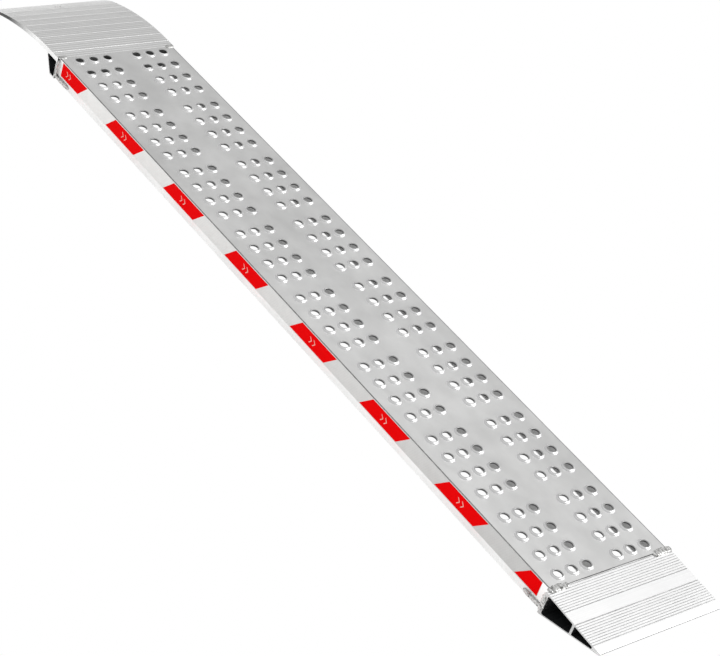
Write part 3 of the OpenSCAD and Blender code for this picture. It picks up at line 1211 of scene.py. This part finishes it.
@dataclass
class Hook:
    """The curved, ribbed extrusion at the ramp's head, with its leg and securing hole."""

    flat: float = 30.0
    radius: float = 720.0
    angle: float = 20.6
    root_t: float = 11.0
    tip_t: float = 5.0
    corner_r: float = 22.0
    first_rib: float = 25.0
    last_rib: float = 249.0
    rib_pitch: float = 32.0
    rib: float = 3.4
    rib_h: float = 0.7
    joint_rib: float = 1.4
    joint_h: float = 0.22
    line_pitch: float = 8.0
    line: float = 1.6
    line_depth: float = 0.35
    leg_top: float = -46.0
    leg_foot: float = -20.0
    leg_t: float = 3.0
    leg_overlap: float = 4.0
    leg_top_r: float = 5.0
    leg_foot_r: float = 1.2
    rear_t: float = 3.0
    hole_d: float = 16.0
    hole_back: float = 2.3
    drill_half: float = 20.0
    drill_points: int = 40

    def relief(self, s: Array) -> Array:
        """Height of the pressed pattern at distance s from the start of the curve.

        Raised ribs stand at each rib pitch, and shallow lines lie between them. Each is one full
        cosine wave in section.

        Args:
            s: Distances along the top, growing towards the tip.

        Returns:
            Heights above the plain surface.
        """
        past = s + self.flat - self.first_rib
        from_rib = (past + self.rib_pitch / 2) % self.rib_pitch - self.rib_pitch / 2
        from_line = (past + self.line_pitch / 2) % self.line_pitch - self.line_pitch / 2
        ribbed = past < self.last_rib - self.first_rib + self.rib
        rib = np.clip(1 - np.abs(from_rib) / (self.rib / 2), 0, 1)
        line = np.clip(1 - np.abs(from_line) / (self.line / 2), 0, 1)
        rib_height = self.rib_h * (1 - np.cos(math.pi * np.clip(rib * 1.6, 0, 1))) / 2
        dip = self.line_depth * (1 - np.cos(math.pi * line)) / 2
        seam = np.clip(1 - np.abs(s + self.flat - self.joint_rib), 0, 1)
        raised = self.joint_h * (1 - np.cos(math.pi * seam)) / 2
        return np.where((np.abs(from_rib) < self.rib) & ribbed, rib_height, raised - dip)

    def stations(self, total: float) -> Array:
        """Distances at which the top is sampled: closely on each rib and line, else sparsely.

        Args:
            total: Length of the curved part of the top.

        Returns:
            The distances, growing towards the tip.
        """
        wide = np.arange(-self.flat + 1.0, total, self.line_pitch / 2)
        near = np.arange(-self.flat + self.first_rib % self.line_pitch, total,
                         self.line_pitch)[:, None]
        fine = near + np.linspace(-1, 1, 9) * self.rib / 2
        seam = -self.flat + self.joint_rib + np.linspace(-1.0, 1.0, 7)
        s = np.unique(np.round(np.concatenate([wide, fine.ravel(), seam]), 3))
        return s[(s > -self.flat + 0.3) & (s < total - 3.0)]

    def outline(self, height: float) -> tuple[Array, float]:
        """The hook's side view, from its rear wall round the leg, the lip and back.

        The lip's top and underside are two arcs. The lower one's centre is lower by the
        thinning over one minus the cosine of the angle, so the lip thins evenly to its tip.

        Args:
            height: Height of the deck's top.

        Returns:
            The outline in X and Z, with X zero at the deck, and the lip's reach.
        """
        top = height
        centre = (-self.flat, top - self.radius)
        shift = (self.root_t - self.tip_t) / (1 - math.cos(math.radians(self.angle)))
        under_r = self.radius - self.root_t + shift
        under_c = (centre[0], centre[1] - shift)
        total = self.radius * math.radians(self.angle)
        s = self.stations(total)
        bend = np.clip(s, 0, None) / self.radius
        r = self.radius + self.relief(s)
        over = np.column_stack([centre[0] - np.minimum(s, 0) - r * np.sin(bend),
                                centre[1] + r * np.cos(bend)])
        middle = self.radius - self.tip_t / 2
        tip_c = (centre[0] - middle * math.sin(math.radians(self.angle)),
                 centre[1] + middle * math.cos(math.radians(self.angle)))
        tip = arc(tip_c, self.tip_t / 2, 270 + self.angle, 90 + self.angle, 9)
        under_end = math.degrees(math.asin((tip[0, 0] - under_c[0]) / -under_r))
        under = arc(under_c, under_r, 90 + 1.6, 90 + under_end - 0.3, 30)
        root_x = np.array([self.leg_top - self.leg_overlap, self.leg_top])
        root_z = under_c[1] + np.sqrt(under_r ** 2 - (root_x - under_c[0]) ** 2)
        leg = rounded([(0.0, 0.0, 0.0), (0.0, top, 0.0), (root_x[0], top, 0.0),
                       (root_x[0], root_z[0], 0.0), (root_x[1], root_z[1], self.leg_top_r),
                       (self.leg_foot, 0.0, self.leg_foot_r)], 6)
        rear = np.array([[0.0, top], [0.0, 0.0]])
        outline = np.vstack([rear[::-1][:1], leg[4:][::-1], under, tip, over[::-1], rear[:1]])
        return outline, -float(tip[:, 0].min())

    def cavity(self, height: float) -> Array:
        """The closed hollow behind the leg, as an outline with rounded corners.

        Args:
            height: Height of the deck's top.

        Returns:
            The outline in X and Z.
        """
        root_z = height - self.root_t
        slant = (self.leg_foot - self.leg_top) / root_z
        foot_x = self.leg_foot + self.leg_t * math.hypot(1, slant)
        low_x = foot_x - slant * self.leg_t
        high_x = foot_x - slant * root_z
        return rounded([(low_x, self.leg_t, 2.0), (-self.rear_t, self.leg_t, 2.0),
                        (-self.rear_t, root_z, 3.0), (high_x, root_z, 3.0)], 5)

    def half_width(self, x: Array, reach: float, half: float) -> Array:
        """Half of the hook's width at x: full, and round the corners at the tip.

        Args:
            x: Places along the hook, zero at the deck and negative towards the tip.
            reach: The lip's reach.
            half: Half of the ramp's width.

        Returns:
            Half widths.
        """
        into = np.clip(-x - (reach - self.corner_r), 0, self.corner_r)
        return half - self.corner_r + np.sqrt(self.corner_r ** 2 - into ** 2)

    def build(self, finishes: Finishes) -> None:
        """Makes the hook in place of its CAD node.

        Args:
            finishes: The ramp's materials.
        """
        high = span("hook")[1]
        height = span("side_rail_left")[1][2]
        outline, reach = self.outline(height)
        cavity = self.cavity(height)
        reaches = [self.half_width(o[:, 0], reach, high[1]) for o in (outline, cavity)]
        # The rear wall under the deck takes near-black painted shade.
        rear = (outline[:, 0] > -0.01) & (np.roll(outline[:, 0], -1) > -0.01)
        skins = [np.where(rear, HookSkin.REAR, HookSkin.PLAIN),
                 np.full(len(cavity), HookSkin.HOLLOW)]
        # The hollow behind the leg takes near-black painted shade.
        surface = prism([outline, cavity], reaches, along_y, skins, HookSkin.SAWN)
        surface.points[:, 0] += high[0]
        # The sawn sides take painted shade that darkens towards the lip's tip.
        piece = make_piece("hook_extrusion", surface,
                           [finishes.hook, finishes.hollow, finishes.deep_shade, finishes.lip_tip_shade],
                           ["hook"], 30.0)
        self.drill(piece, high[0], height)

    def drill(self, piece: bpy.types.Object, deck_x: float, height: float) -> None:
        """Cuts the securing hole square through the lip, near its tip.

        Args:
            piece: The hook.
            deck_x: Where the deck starts.
            height: Height of the deck's top.
        """
        turn = math.radians(self.angle - self.hole_back)
        around = arc((0.0, 0.0), self.hole_d / 2, 0, 360 - 360 / self.drill_points,
                     self.drill_points)
        lengths = np.full(len(around), self.drill_half)
        bar = prism([around], [lengths], lambda p, d: np.column_stack([p, d]))
        mesh = bpy.data.meshes.new("securing_bar")
        mesh.from_pydata((bar.points * MM).tolist(), [], bar.faces)
        centre = Vector((deck_x - self.flat - self.radius * math.sin(turn), 0.0,
                         height - self.radius * (1 - math.cos(turn)))) * MM
        mesh.transform(Matrix.Translation(centre) @ Matrix.Rotation(-turn, 4, "Y"))
        cutter = bpy.data.objects.new("securing_bar", mesh)
        bpy.context.scene.collection.objects.link(cutter)
        cut = piece.modifiers.new("drill", "BOOLEAN")
        cut.operation, cut.solver, cut.object = "DIFFERENCE", "EXACT", cutter
        graph = bpy.context.evaluated_depsgraph_get()
        drilled = bpy.data.meshes.new_from_object(piece.evaluated_get(graph))
        piece.modifiers.clear()
        old = piece.data
        piece.data = drilled
        bpy.data.meshes.remove(old)
        bpy.data.objects.remove(cutter)


# ---------------------------------------------------------------------------------------------
# Welds
# ---------------------------------------------------------------------------------------------


@dataclass(frozen=True)
class CornerFit:
    """How the beads at one end of the deck differ from their CAD nodes, in millimetres."""

    side_wider: float
    side_shift: float
    side_lift: float
    low_shift: float


@dataclass
class Welds:
    """Rippled weld beads at both ends of the deck and along the stiffener."""

    ripple_pitch: float = 7.0
    ripple: float = 0.40
    lump: float = 0.45
    crescent: float = 1.8
    wander: float = 0.16
    sway: float = 0.5
    columns: int = 15
    proud: float = 2.5
    top_longer: float = 8.0
    top_shift: float = 3.0
    side_longer: float = 7.0
    side_drop: float = 2.0
    low_raise: float = 1.0
    larger: float = 2.0
    stitch: float = 40.0
    stitch_in: float = 0.42
    stitch_w: float = 1.25
    stitch_h: float = 0.35
    seed: int = 7
    fits: dict[End, CornerFit] = field(default_factory=lambda: {
        End.FOOT: CornerFit(7.5, 6.0, 5.0, -4.0), End.HOOK: CornerFit(3.0, 1.5, 0.0, -10.0)})

    def bead(self, length: float, width: float, height: float, rng: np.random.Generator,
             along: int = 0, root: Pair = (0.6, 1.0)) -> Surface:
        """A bead along +X on the plane z = 0.

        The height at (u, v) is the root of one minus v to the fourth across and of a rounded end
        along, times crescent ripples: a sine of u minus a part of v squared. Slow random sines
        make the bead lumpy and its edge wander.

        Args:
            length: Its length.
            width: Its width.
            height: Its height.
            rng: Source of the random waves.
            along: Points along it, or 0 for about one each millimetre.
            root: How deep its underside lies, and how wide that is as a part of its width.

        Returns:
            The closed surface.
        """
        rows, columns = along or max(24, int(length * 1.1)), self.columns
        u = np.linspace(-1, 1, rows)[:, None]
        v = np.sin(np.linspace(-1, 1, columns) * math.pi / 2)[None, :]
        x = u * length / 2
        slow = self.waves(x[:, 0], rng, (0.5, 1.1, 2.3))
        edge = self.waves(x[:, 0], rng, (0.8, 1.9, 3.1))
        end = np.clip(1 - np.abs(u[:, 0]) ** 6, 0, 1) ** 0.5
        half = width / 2 * end * (1 + self.wander * edge)
        phase = 2 * math.pi * (x + self.crescent * v ** 2) / self.ripple_pitch
        crest = np.sqrt(np.clip(1 - v ** 4, 0, 1))
        z = height * end[:, None] * crest * (1 + self.ripple * np.abs(np.sin(phase))
                                             + self.lump * slow[:, None])
        z *= height / z.max()
        y = half[:, None] * v + self.sway * edge[:, None] * end[:, None]
        y *= width / 2 / np.abs(y).max()
        x = np.broadcast_to(x, y.shape)
        top = np.stack([x, y, z], axis=-1)
        under = np.stack([x, y * root[1], np.full_like(y, -root[0])], axis=-1)
        n = rows * columns
        faces = quad_faces(rows, columns, False)
        lower = [[i + n for i in f[::-1]] for f in faces]
        rim = np.concatenate([np.arange(columns), np.arange(1, rows) * columns + columns - 1,
                              (rows - 1) * columns + np.arange(columns - 2, -1, -1),
                              np.arange(rows - 2, 0, -1) * columns])
        following = np.roll(rim, -1)
        sides = np.stack([rim, rim + n, following + n, following], axis=-1).tolist()
        return Surface(np.vstack([top.reshape(-1, 3), under.reshape(-1, 3)]),
                       [f[::-1] for f in faces + lower + sides])

    @staticmethod
    def waves(x: Array, rng: np.random.Generator, rates: tuple[float, ...]) -> Array:
        """A sum of sines with random phases, scaled to about plus or minus one.

        Args:
            x: Places along the bead.
            rng: Source of the phases.
            rates: Waves in every 20 mm, for each sine.

        Returns:
            The sum at each place.
        """
        total = np.zeros_like(x)
        for rate in rates:
            total += np.sin(2 * math.pi * rate * x / 20 + rng.uniform(0, 2 * math.pi))
        return total / len(rates)

    @staticmethod
    def placed(surface: Surface, at: Array, x_axis: Array, z_axis: Array) -> Surface:
        """A surface turned so that its X and Z axes point as given, and moved.

        Args:
            surface: The surface.
            at: Where its origin goes.
            x_axis: Where its X axis points.
            z_axis: Where its Z axis points.

        Returns:
            The placed surface.
        """
        y_axis = np.cross(z_axis, x_axis)
        frame_axes = np.column_stack([x_axis, y_axis, z_axis])
        return Surface(surface.points @ frame_axes.T + at, surface.faces, surface.slots)

    def corner_beads(self, finishes: Finishes, rng: np.random.Generator) -> None:
        """Makes the three beads at each of the deck's four corners.

        Args:
            finishes: The ramp's materials.
            rng: Source of the random waves.
        """
        x_axis, y_axis, up = np.eye(3)
        for end in End:
            for side in Side:
                out = side.value * y_axis
                for kind, axis, normal in (("top", y_axis, up), ("side", up, out),
                                           ("low", x_axis, out)):
                    node = f"weld_{end.name.lower()}_{kind}_{side.name.lower()}"
                    low, high = span(node)
                    size, middle = high - low, (low + high) / 2
                    length = float(np.abs(size @ axis))
                    width = float(np.abs(size @ np.cross(axis, normal)))
                    height = float(np.abs(size @ normal))
                    base = middle - normal * height / 2
                    lift, fit = 0.0, self.fits[end]
                    if kind == "side":
                        lift, length = fit.side_lift, length + self.side_longer
                        base = base + x_axis * end.value * fit.side_shift - up * self.side_drop
                        base = base + normal * lift
                        width, height = width + fit.side_wider, height + self.proud - lift
                    elif kind == "top" and end is End.FOOT:
                        base = base + y_axis * self.top_shift
                        length, width = length + self.top_longer, width + self.larger
                    elif kind == "low":
                        base = base - x_axis * end.value * fit.low_shift + up * self.low_raise
                        width, height = width + self.larger, height + self.larger
                    bead = self.bead(length, width, height, rng, root=(0.6 + lift, 1.0))
                    piece = self.placed(bead, base, axis, normal)
                    make_piece(node.replace("weld", "bead"), piece, [finishes.weld],
                               [node], 60.0)

    def stitches(self, finishes: Finishes, rng: np.random.Generator) -> None:
        """Makes the stitch welds between the stiffener's web and the deck.

        Each bead lies at 45 degrees in the corner between web and plate.

        Args:
            finishes: The ramp's materials.
            rng: Source of the random waves.
        """
        low, high = span("stiffener_welds")
        deck = Deck()
        web = Rails().web / 2
        leg = high[1] - web
        group_pitch = (deck.rows - 1) * deck.row_pitch + deck.group_gap
        gaps = deck.hook_margin + np.arange(deck.groups + 1) * group_pitch - deck.group_gap / 2
        middles = np.clip(gaps + low[0], low[0] + self.stitch / 2, high[0] - self.stitch / 2)
        parts = []
        for x in middles:
            for side in Side:
                normal = np.array([0.0, side.value, -1.0]) / math.sqrt(2)
                inward = leg * self.stitch_in
                corner = np.array([x, side.value * (web + inward), high[2] - inward])
                bead = self.bead(self.stitch, leg * self.stitch_w, leg * self.stitch_h, rng, 30)
                parts.append(self.placed(bead, corner, np.array([1.0, 0.0, 0.0]), normal))
        make_piece("stitch_beads", stack(parts), [finishes.weld],
                   ["stiffener_welds"], 60.0)

    def build(self, finishes: Finishes) -> None:
        """Makes every weld.

        Args:
            finishes: The ramp's materials.
        """
        rng = np.random.default_rng(self.seed)
        self.corner_beads(finishes, rng)
        self.stitches(finishes, rng)


# ---------------------------------------------------------------------------------------------
# Tape
# ---------------------------------------------------------------------------------------------


@dataclass
class Tape:
    """White reflective tape on each rail, with slanted red panels and a plain printed mark."""

    pitch: float = 240.0
    length: float = 118.0
    height: float = 33.0
    slant: float = 31.0
    drop: float = 1.2
    first: float = 6.0
    count: int = 8
    film: float = 0.4
    panel: float = 0.2
    ink: float = 0.05
    bevel: float = 0.15
    mark_margin: float = 30.0
    mark_places: Pair = (-6.0, 6.0)
    mark_arm: tuple[Pair, ...] = ((0.0, 0.0), (2.4, 0.0), (-3.6, 7.0), (-6.0, 7.0))

    def sheet(self, outline: Array, low: float, thick: float, side: Side) -> Surface:
        """A flat film on a rail, with its upper edge sloped in by the bevel.

        Args:
            outline: Its convex outline in X and Z, anticlockwise.
            low: Distance of its back from the middle of the ramp.
            thick: Its thickness.
            side: The rail it lies on.

        Returns:
            The closed surface.
        """
        middle = outline.mean(axis=0)
        inward = middle - outline
        inset = outline + inward / np.linalg.norm(inward, axis=1)[:, None] * self.bevel
        n = len(outline)
        y = side.value * np.concatenate([np.full(n, low), np.full(n, low + thick)])
        flat = np.vstack([outline, inset])
        points = np.column_stack([flat[:, 0], y, flat[:, 1]])
        walls = quad_faces(2, n, True)
        faces = walls + [list(range(2 * n - 1, n - 1, -1))[::-1], list(range(n))[::-1]]
        if side is Side.RIGHT:
            faces = [f[::-1] for f in faces]
        return Surface(points, faces)

    @staticmethod
    def clipped(outline: Array, low: float, high: float) -> Array:
        """A convex outline cut off at two values of X.

        Args:
            outline: Points in X and Z.
            low: The least X that stays.
            high: The greatest X that stays.

        Returns:
            The outline that is left.
        """
        for limit, sign in ((low, 1.0), (high, -1.0)):
            kept = []
            for a, b in zip(outline, np.roll(outline, -1, axis=0)):
                inside_a, inside_b = sign * (a[0] - limit) >= 0, sign * (b[0] - limit) >= 0
                if inside_a:
                    kept.append(a)
                if inside_a != inside_b:
                    kept.append(a + (b - a) * (limit - a[0]) / (b[0] - a[0]))
            outline = np.array(kept)
        return outline

    def mark(self, middle: Array, low: float, side: Side) -> Surface:
        """A plain printed mark: two chevrons that point along the ramp.

        Args:
            middle: The panel's middle in X and Z.
            low: Distance of the film's face from the middle of the ramp.
            side: The rail it lies on.

        Returns:
            The surface of the thin ink layers.
        """
        parts = []
        for x in self.mark_places:
            for flip in (1.0, -1.0):
                outline = middle + (x, 0.0) + np.array(self.mark_arm) * (1.0, flip)
                parts.append(self.sheet(outline[::int(flip)], low, self.ink, side))
        return stack(parts)

    def build(self, finishes: Finishes) -> None:
        """Makes the tape, the panels and their marks on both rails.

        Args:
            finishes: The ramp's materials.
        """
        start = span("deck_plate")[0][0]
        for side in Side:
            name = side.name.lower()
            low, high = span(f"tape_{name}")
            face = float(np.abs([low[1], high[1]]).min())
            outline = np.array([[low[0], low[2]], [high[0], low[2]], [high[0], high[2]],
                                [low[0], high[2]]])
            make_piece(f"tape_film_{name}", self.sheet(outline, face, self.film, side),
                       [finishes.tape], [f"tape_{name}"])
            top = high[2] - self.drop
            for i in range(self.count):
                x = start + self.first + i * self.pitch
                shape = np.array([[x - self.slant, top - self.height],
                                  [x + self.length - self.slant, top - self.height],
                                  [x + self.length, top], [x, top]])
                cut = self.clipped(shape, low[0], high[0])
                make_piece(f"red_film_{name}_{i + 1}",
                           self.sheet(cut, face + self.film, self.panel, side),
                           [finishes.red], [f"red_panel_{name}_{i + 1}"])
                middle = shape.mean(axis=0)
                if low[0] + self.mark_margin < middle[0] < high[0] - self.mark_margin:
                    make_piece(f"panel_mark_{name}_{i + 1}",
                               self.mark(middle, face + self.film + self.panel, side),
                               [finishes.ink], [])


# ---------------------------------------------------------------------------------------------
# Studio
# ---------------------------------------------------------------------------------------------


@dataclass
class Studio:
    """The floor, the lights and the camera."""

    target: Triple = (0.2152, -0.0437, 0.053)
    azimuth: float = 41.987
    elevation: float = 34.493
    distance: float = 4.0
    roll: float = 19.606
    lens: float = 101.492
    floor_size: float = 40.0
    floor_drop: float = 0.0005
    floor_glow: float = 0.60
    floor_seen: float = 1.0
    sky: float = 0.60

    def direction(self, azimuth: float, elevation: float) -> Vector:
        """Unit vector from the ramp towards a place given by two angles in degrees."""
        a, e = math.radians(azimuth), math.radians(elevation)
        return Vector((math.sin(a) * math.cos(e), -math.cos(a) * math.cos(e), math.sin(e)))

    def camera(self) -> None:
        """Makes the camera, rolled about its own line of sight."""
        data = bpy.data.cameras.new("camera")
        data.lens = self.lens
        data.sensor_width = 36.0
        data.clip_end = 100.0
        cam = bpy.data.objects.new("camera", data)
        bpy.context.scene.collection.objects.link(cam)
        back = self.direction(self.azimuth, self.elevation)
        cam.location = Vector(self.target) + back * self.distance
        level = (-back).to_track_quat("-Z", "Y").to_matrix().to_4x4()
        turn = Matrix.Rotation(math.radians(self.roll), 4, "Z")
        cam.matrix_world = Matrix.Translation(cam.location) @ level @ turn
        bpy.context.scene.camera = cam

    def floor(self) -> None:
        """Makes the pale floor, which glows softly as a light table does."""
        half = self.floor_size / 2
        mesh = bpy.data.meshes.new("floor")
        corners = [(-half, -half, 0), (half, -half, 0), (half, half, 0), (-half, half, 0)]
        mesh.from_pydata([(x, y, -self.floor_drop) for x, y, _ in corners], [], [(0, 1, 2, 3)])
        g = Graph("floor")
        g.set(Roughness=0.9, Specular_IOR_Level=0.0, Emission_Color=(1.0, 1.0, 1.0, 1.0))
        seen = g.node("LightPath").outputs["Is Camera Ray"]
        g.paint(seen, grey(0.86), grey(0.0))
        g.link(g.ramp(seen, self.floor_glow, self.floor_seen, 0.0, 1.0),
               g.shader.inputs["Emission Strength"])
        mesh.materials.append(g.material)
        obj = bpy.data.objects.new("floor", mesh)
        bpy.context.scene.collection.objects.link(obj)

    def light(self, name: str, azimuth: float, elevation: float, distance: float, size: float,
              power: float) -> None:
        """Makes a square soft light that faces the ramp.

        Args:
            name: Its name.
            azimuth: Where it stands round the ramp, in degrees.
            elevation: How high it stands, in degrees.
            distance: How far it stands, in metres.
            size: Length of its sides, in metres.
            power: Its power in watts.
        """
        data = bpy.data.lights.new(name, "AREA")
        data.shape, data.size, data.energy = "SQUARE", size, power
        lamp = bpy.data.objects.new(name, data)
        bpy.context.scene.collection.objects.link(lamp)
        back = self.direction(azimuth, elevation)
        lamp.location = back * distance
        lamp.rotation_mode = "QUATERNION"
        lamp.rotation_quaternion = (-back).to_track_quat("-Z", "Y")

    def build(self) -> None:
        """Makes the whole studio."""
        self.camera()
        self.floor()
        world = bpy.data.worlds.new("soft_sky")
        world.use_nodes = True
        tree = world.node_tree
        background = tree.nodes["Background"]
        background.inputs["Color"].default_value = (1, 1, 1, 1)
        path = tree.nodes.new("ShaderNodeLightPath")
        strength = tree.nodes.new("ShaderNodeMapRange")
        strength.inputs["To Min"].default_value = self.sky
        strength.inputs["To Max"].default_value = self.floor_seen
        tree.links.new(path.outputs["Is Camera Ray"], strength.inputs["Value"])
        tree.links.new(strength.outputs["Result"], background.inputs["Strength"])
        bpy.context.scene.world = world
        self.light("overhead", -138, 72, 4.5, 4.0, 35)
        self.light("foot_side", 137, 33, 5.0, 3.6, 150)
        bpy.context.scene.view_settings.view_transform = "Standard"


def main() -> None:
    """Builds the studio and every sub-assembly."""
    logging.basicConfig(level=logging.INFO, format="%(name)s: %(message)s")
    Studio().build()
    finishes = Finishes()
    for assembly in (Deck(), Rails(), Wedge(), Hook(), Welds(), Tape()):
        assembly.build(finishes)


if __name__ == "__main__":
    main()
